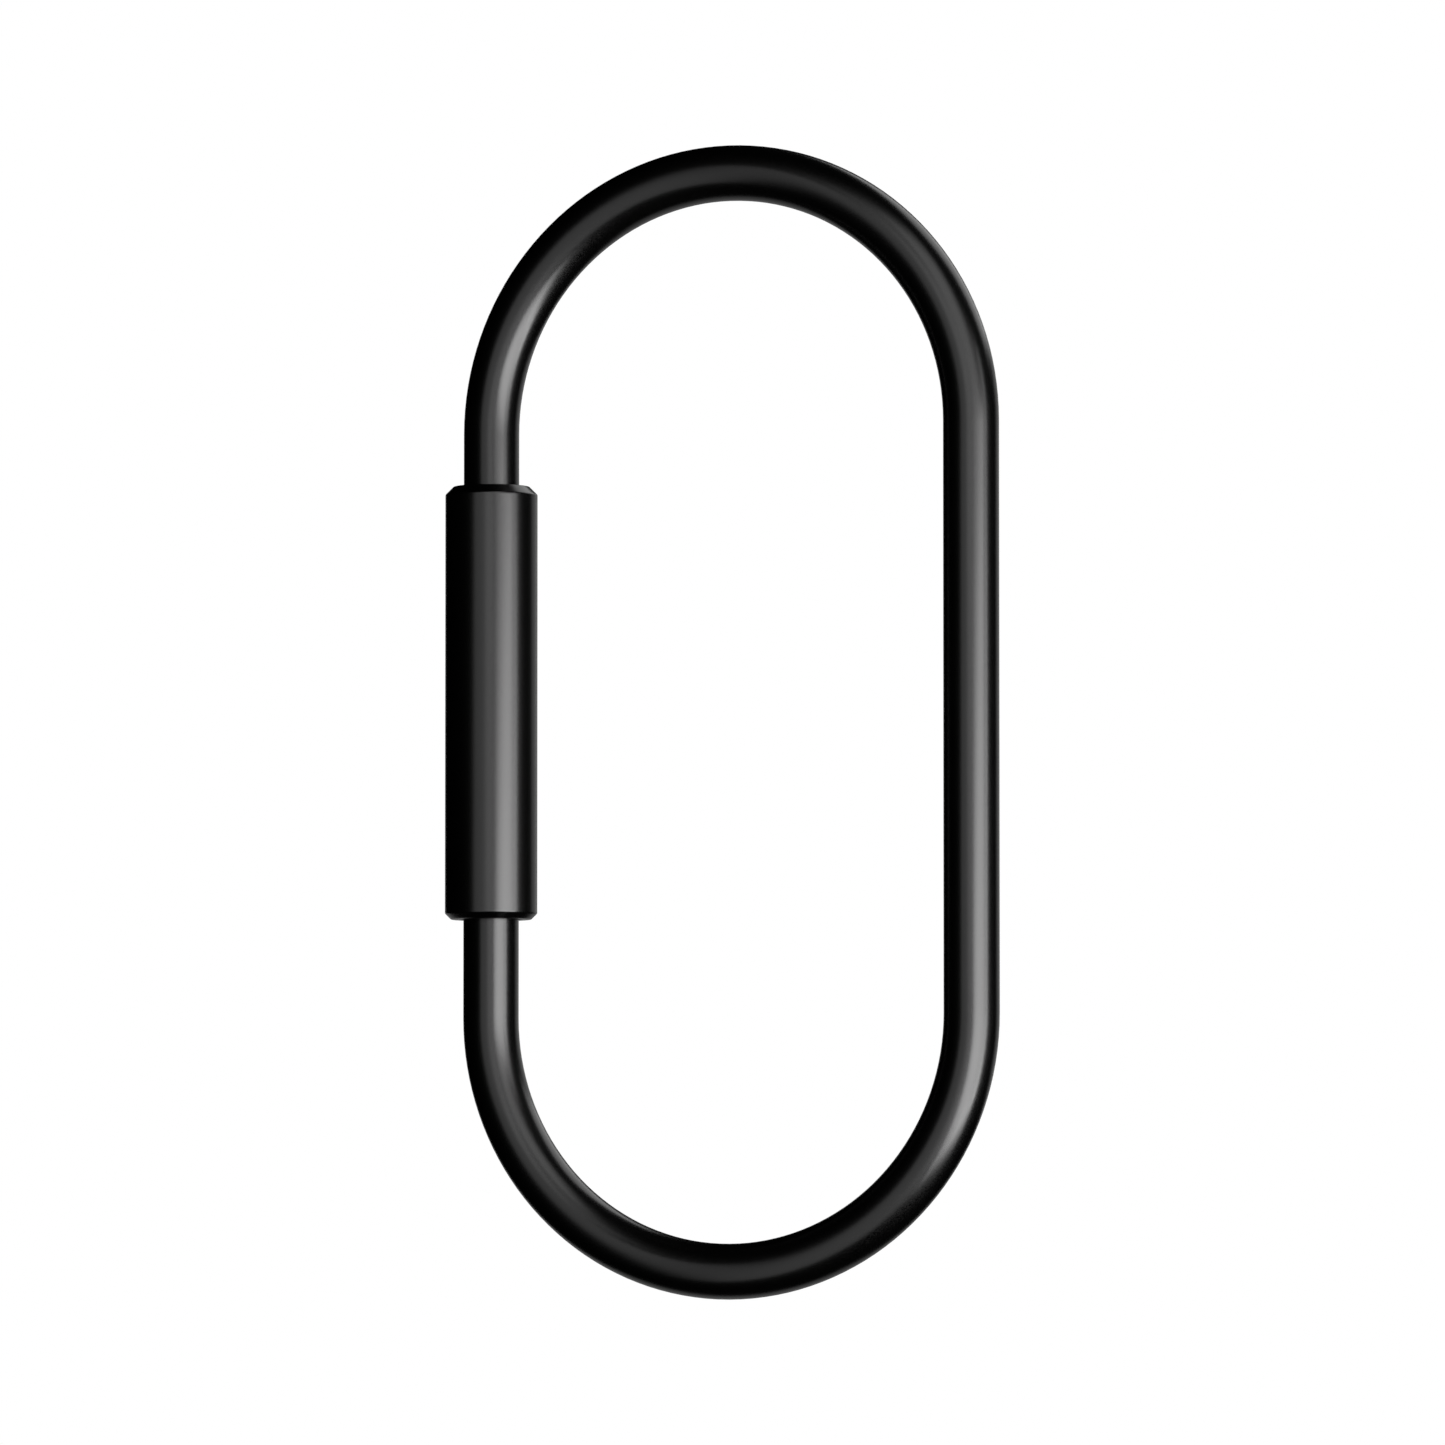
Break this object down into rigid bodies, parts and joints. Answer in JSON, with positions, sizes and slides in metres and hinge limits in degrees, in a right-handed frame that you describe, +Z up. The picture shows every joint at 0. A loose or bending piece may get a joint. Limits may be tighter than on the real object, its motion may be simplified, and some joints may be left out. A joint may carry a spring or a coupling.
{
  "type": "screw-lock key link",
  "caption": "Bent round-rod key link in black metal, closed on one leg by a threaded sleeve that unscrews to open a gate.",
  "frame": {"origin": "middle of the link as it lies flat, on the plane that the sleeve rests on", "axes": "+Z up out of the loop's plane, +Y along the link towards the end beside the gate, the sleeve on the -X leg"},
  "size_m": [0.0315, 0.0622, 0.005],
  "materials": {
    "black_rod": "satin black coating on bent stainless rod",
    "black_sleeve": "satin black coating on turned stainless",
    "ring_rubber": "moulded nitrile"
  },
  "bodies": {
    "loop": {"wire_loop": "black_rod"},
    "ring": {"friction_ring": "ring_rubber"},
    "sleeve": {"lock_sleeve": "black_sleeve"}
  },
  "joints": [
    {"name": "sleeve_travel", "type": "slide", "parent": "loop", "child": "ring", "axis": [0, -1, 0], "range_m": [0, 0.00525]},
    {"name": "sleeve_turn", "type": "hinge", "parent": "ring", "child": "sleeve", "pos_m": [-0.01325, 0.00125, 0.0025], "axis": [0, -1, 0], "range_deg": [0, 3780]}
  ],
  "couplings": [
    {"joint": "sleeve_turn", "follows": "sleeve_travel", "rad_per_m": 12566}
  ]
}
